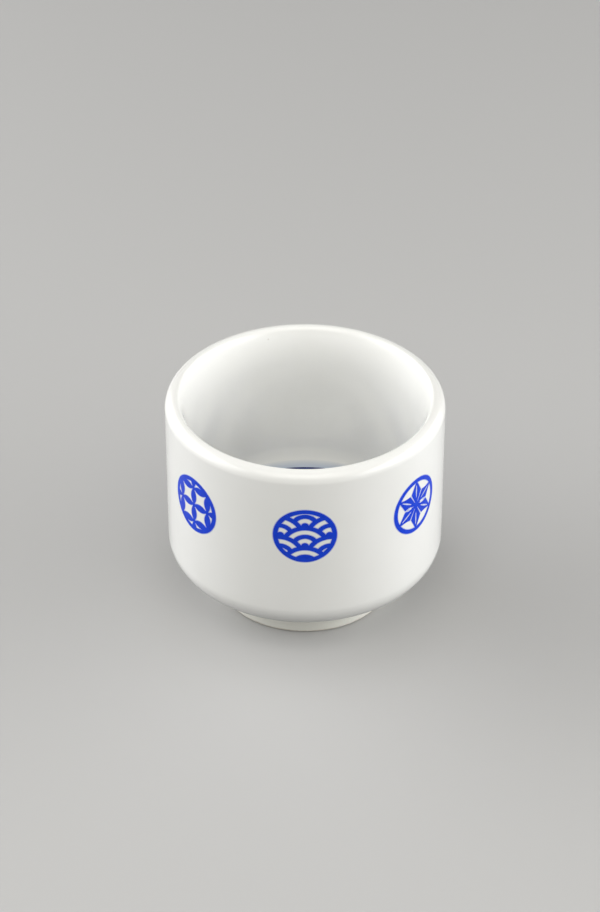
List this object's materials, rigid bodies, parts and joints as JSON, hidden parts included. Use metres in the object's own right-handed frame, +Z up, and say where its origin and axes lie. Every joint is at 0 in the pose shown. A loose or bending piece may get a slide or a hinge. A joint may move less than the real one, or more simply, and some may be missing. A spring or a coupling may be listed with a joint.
{
  "type": "sake cup",
  "caption": "Small straight-sided porcelain sake cup with a rounded lip and foot ring, white glaze, blue roundels round the outside and blue rings on the floor inside.",
  "frame": {"origin": "middle of the foot ring's resting face", "axes": "+Z up along the axis that the cup is turned on, -Y towards the side that the picture shows"},
  "size_m": [0.0524, 0.0522, 0.043],
  "materials": {
    "porcelain": "bare fired porcelain, fine and matt, ground on the foot's resting edge",
    "glaze": "clear white gloss glaze with slight ripple and a few specks",
    "wall_print": "cobalt blue print under gloss, slightly soft at its edges",
    "floor_print": "dark cobalt blue print under gloss"
  },
  "bodies": {
    "root": {"cup_body": "porcelain", "foot_ring": "porcelain", "glaze_coat": "glaze", "base_glaze": "glaze", "janome_outer_ring": "floor_print", "janome_inner_ring": "floor_print", "roundel_1_wave": "wall_print", "roundel_2_hemp": "wall_print", "roundel_3_shippo": "wall_print", "roundel_4_fan": "wall_print", "roundel_5_wave": "wall_print", "roundel_6_hemp": "wall_print", "roundel_7_shippo": "wall_print"}
  },
  "joints": []
}
